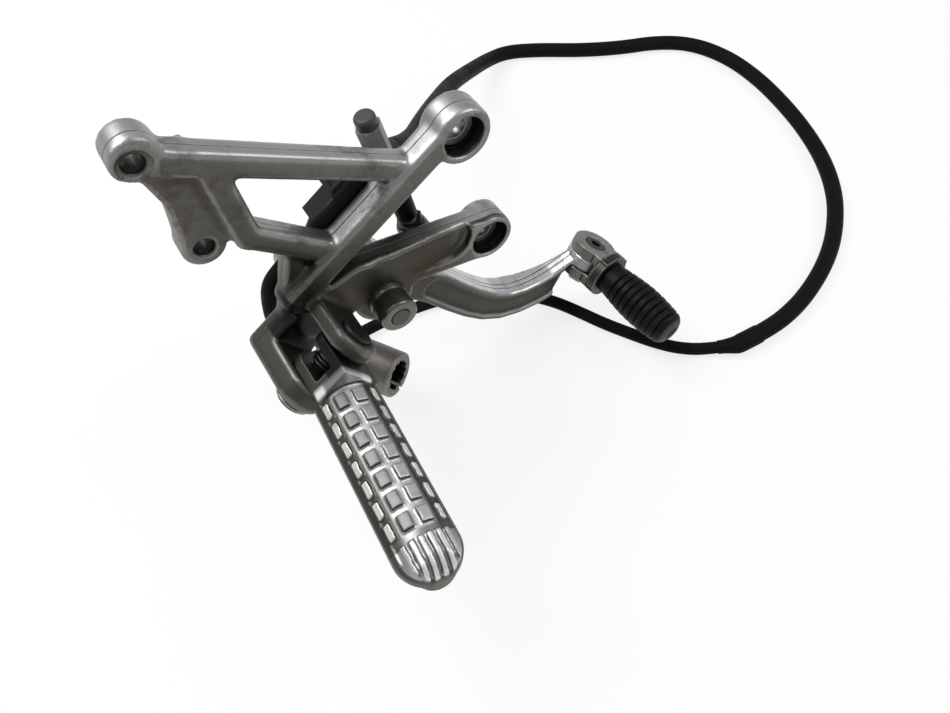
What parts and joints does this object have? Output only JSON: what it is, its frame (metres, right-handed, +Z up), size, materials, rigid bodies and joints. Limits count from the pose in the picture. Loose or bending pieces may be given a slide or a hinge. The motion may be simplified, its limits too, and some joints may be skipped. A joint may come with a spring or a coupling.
{
  "type": "motorcycle footrest hanger",
  "caption": "Cast motorcycle footrest hanger with folding footpeg, gear lever with folding toe peg, shift linkage and sensor lead; bolts to the frame.",
  "frame": {"origin": "on the upper frame bolt's axis, at the boss face that seats on the motorcycle's frame", "axes": "+X towards the gear lever's toe, +Y inboard towards the motorcycle, +Z up"},
  "size_m": [0.432, 0.3469, 0.2115],
  "materials": {
    "cast_aluminium": "satin cast, stained",
    "machined_aluminium": "bright machined",
    "lever_aluminium": "satin forged",
    "zinc_steel": "plated",
    "dark_steel": "blackened",
    "bronze": "sintered bush",
    "black_rubber": "matt",
    "black_plastic": "matt",
    "grey_plastic": "matt",
    "black_sleeve": "satin"
  },
  "bodies": {
    "hanger": {"hanger_casting": "cast_aluminium", "upper_frame_sleeve": "zinc_steel", "lower_frame_sleeve": "zinc_steel", "footpeg_pin": "dark_steel", "pin_washer": "zinc_steel", "pin_clip": "dark_steel", "footpeg_spring": "dark_steel", "pivot_bolt": "zinc_steel", "pivot_collar": "zinc_steel", "pivot_washer_outer": "zinc_steel", "pivot_washer_inner": "zinc_steel", "sensor_body": "grey_plastic", "sensor_cap": "black_plastic", "sensor_nuts": "zinc_steel", "sensor_boot": "black_rubber", "sensor_gland": "black_rubber", "connector_socket": "black_plastic", "connector_plug": "black_plastic", "connector_latch": "black_plastic", "connector_collar": "black_rubber", "lead_sleeve": "black_sleeve", "sensor_lead": "black_sleeve"},
    "footpeg": {"footpeg": "machined_aluminium"},
    "gear_lever": {"gear_lever": "lever_aluminium", "lever_bush": "bronze", "lever_ball_stud": "zinc_steel"},
    "toe_peg": {"toe_core": "lever_aluminium", "toe_rubber": "black_rubber", "toe_screw": "dark_steel", "toe_nut": "zinc_steel"},
    "shift_rod": {"shift_rod": "zinc_steel", "upper_rod_end": "zinc_steel", "lower_rod_end": "zinc_steel", "shift_rod_nuts": "zinc_steel"},
    "splined_arm": {"splined_arm": "zinc_steel", "arm_ball_stud": "zinc_steel", "pinch_bolt": "zinc_steel"}
  },
  "joints": [
    {"name": "footpeg_fold", "type": "hinge", "parent": "hanger", "child": "footpeg", "pos_m": [-0.076, -0.032, -0.065], "axis": [-0.8192, 0, -0.5736], "range_deg": [0, 85], "stiffness_Nm_per_rad": 0.3, "springref_deg": -28.65},
    {"name": "lever_turn", "type": "hinge", "parent": "hanger", "child": "gear_lever", "pos_m": [-0.04, 0, -0.067], "axis": [0, 1, 0], "range_deg": [-8, 4]},
    {"name": "toe_fold", "type": "hinge", "parent": "gear_lever", "child": "toe_peg", "pos_m": [0.0865, 0.0012, -0.131], "axis": [-0.4695, 0, -0.8829], "range_deg": [0, 30], "stiffness_Nm_per_rad": 0.1, "springref_deg": -22.92},
    {"name": "rod_swing", "type": "hinge", "parent": "gear_lever", "child": "shift_rod", "pos_m": [-0.066, 0.0212, -0.06], "axis": [0, 1, 0], "range_deg": [-6.5, 12]},
    {"name": "arm_swing", "type": "hinge", "parent": "shift_rod", "child": "splined_arm", "pos_m": [-0.062, 0.0212, -0.112], "axis": [0, 1, 0], "range_deg": [-12.5, 6.5]}
  ],
  "couplings": [
    {"joint": "rod_swing", "follows": "lever_turn", "ratio": -1.42},
    {"joint": "arm_swing", "follows": "lever_turn", "ratio": 1.53}
  ]
}
